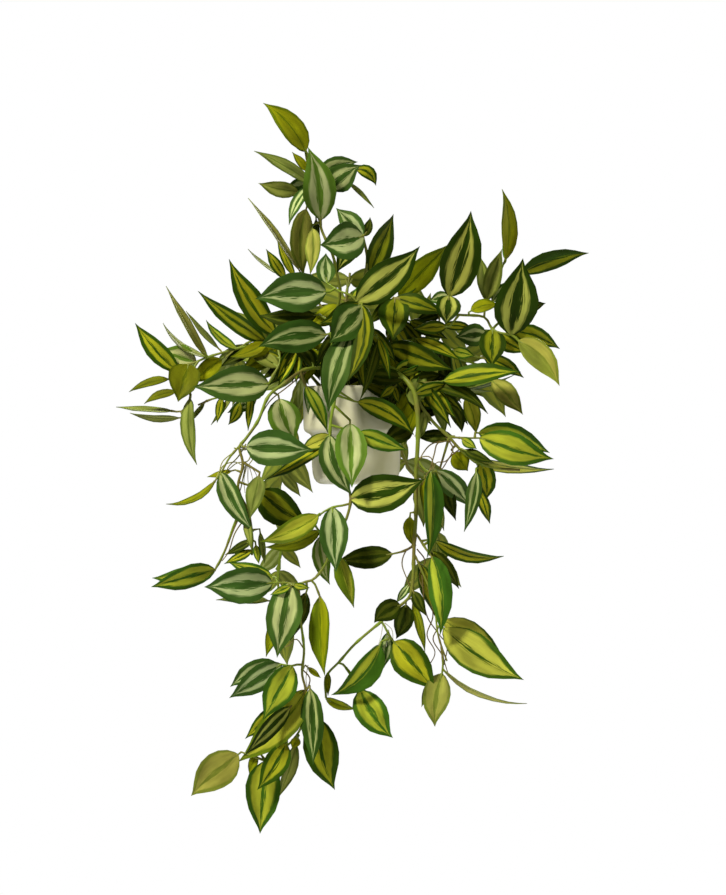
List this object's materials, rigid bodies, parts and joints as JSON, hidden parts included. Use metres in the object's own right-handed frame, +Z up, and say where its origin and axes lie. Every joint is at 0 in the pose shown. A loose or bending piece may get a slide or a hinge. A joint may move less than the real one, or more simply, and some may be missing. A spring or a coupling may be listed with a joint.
{
  "type": "potted tradescantia",
  "caption": "Trailing houseplant with striped, pointed green leaves on arching and hanging stems, in a white collared pot filled with soil.",
  "frame": {"origin": "on the pot's axis, at the underside of its collar, where a ring or a hole in a shelf carries the pot", "axes": "+Z up along the pot's axis, -Y towards the viewer of the picture, +X to that viewer's right"},
  "size_m": [0.4671, 0.2412, 0.7118],
  "materials": {
    "pot_glaze": "gloss",
    "soil": "matte",
    "foliage": "satin"
  },
  "bodies": {
    "root": {"pot": "pot_glaze", "soil": "soil", "spray_upright": "foliage", "spray_centre": "foliage", "spray_right_high": "foliage", "spray_right_low": "foliage", "spray_right_trailing": "foliage", "spray_left": "foliage", "spray_left_trailing": "foliage", "spray_centre_trailing": "foliage", "spray_back_left": "foliage", "spray_back_right": "foliage", "spray_back_high": "foliage", "spray_back_trailing_left": "foliage", "spray_back_trailing_right": "foliage", "spray_side_left": "foliage", "spray_side_right": "foliage"}
  },
  "joints": []
}
